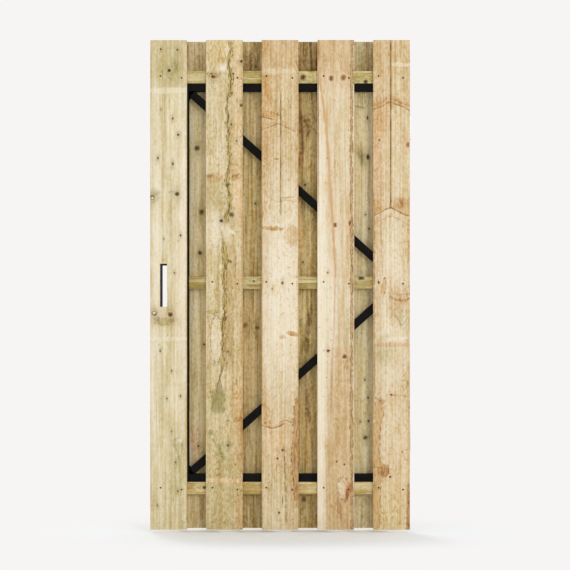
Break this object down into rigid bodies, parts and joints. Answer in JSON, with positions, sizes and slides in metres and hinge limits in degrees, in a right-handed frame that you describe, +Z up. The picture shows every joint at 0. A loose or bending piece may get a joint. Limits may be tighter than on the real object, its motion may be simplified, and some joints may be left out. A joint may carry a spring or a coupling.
{
  "type": "wooden garden gate",
  "caption": "Garden gate leaf of spaced upright pine boards on a black steel frame with diagonal braces, a lock slot and box, and pin hinges for its post.",
  "frame": {"origin": "middle of the lower hinge plate, on the face that is screwed to the post", "axes": "+X from the leaf's lock side to its hinge side and into the post, +Y from the front boards to the back boards, +Z up"},
  "size_m": [1.003, 0.072, 1.885],
  "materials": {
    "front_pine": "planed pressure-treated pine, pale yellow tan with a green tinge, unvarnished",
    "back_pine": "planed pressure-treated pine, olive tan, unvarnished",
    "batten_pine": "planed pressure-treated pine, greenish tan, unvarnished",
    "black_steel": "fine-textured black powder coat, satin",
    "zinc": "zinc-plated, dull grey"
  },
  "bodies": {
    "post_hinges": {"lower_hinge_pin": "zinc", "upper_hinge_pin": "zinc", "lower_hinge_plate": "zinc", "upper_hinge_plate": "zinc"},
    "leaf": {"front_plank_1": "front_pine", "front_plank_2": "front_pine", "front_plank_3": "front_pine", "front_plank_4": "front_pine", "front_plank_5": "front_pine", "back_plank_1": "back_pine", "back_plank_2": "back_pine", "back_plank_3": "back_pine", "back_plank_4": "back_pine", "top_batten": "batten_pine", "middle_batten": "batten_pine", "bottom_batten": "batten_pine", "lock_side_upright": "black_steel", "hinge_side_upright": "black_steel", "top_rail": "black_steel", "bottom_rail": "black_steel", "lower_brace": "black_steel", "upper_brace": "black_steel", "lower_gusset": "black_steel", "upper_gusset": "black_steel", "lock_box_front": "black_steel", "lock_box_back": "black_steel", "lock_box_top": "black_steel", "lock_box_bottom": "black_steel", "lock_box_edge": "black_steel", "lower_hinge_eye": "zinc", "upper_hinge_eye": "zinc", "lower_hinge_nut": "zinc", "upper_hinge_nut": "zinc"}
  },
  "joints": [
    {"name": "gate_swing", "type": "hinge", "parent": "post_hinges", "child": "leaf", "pos_m": [-0.02405, -0.003, 0], "axis": [0, 0, -1], "range_deg": [0, 95]}
  ]
}
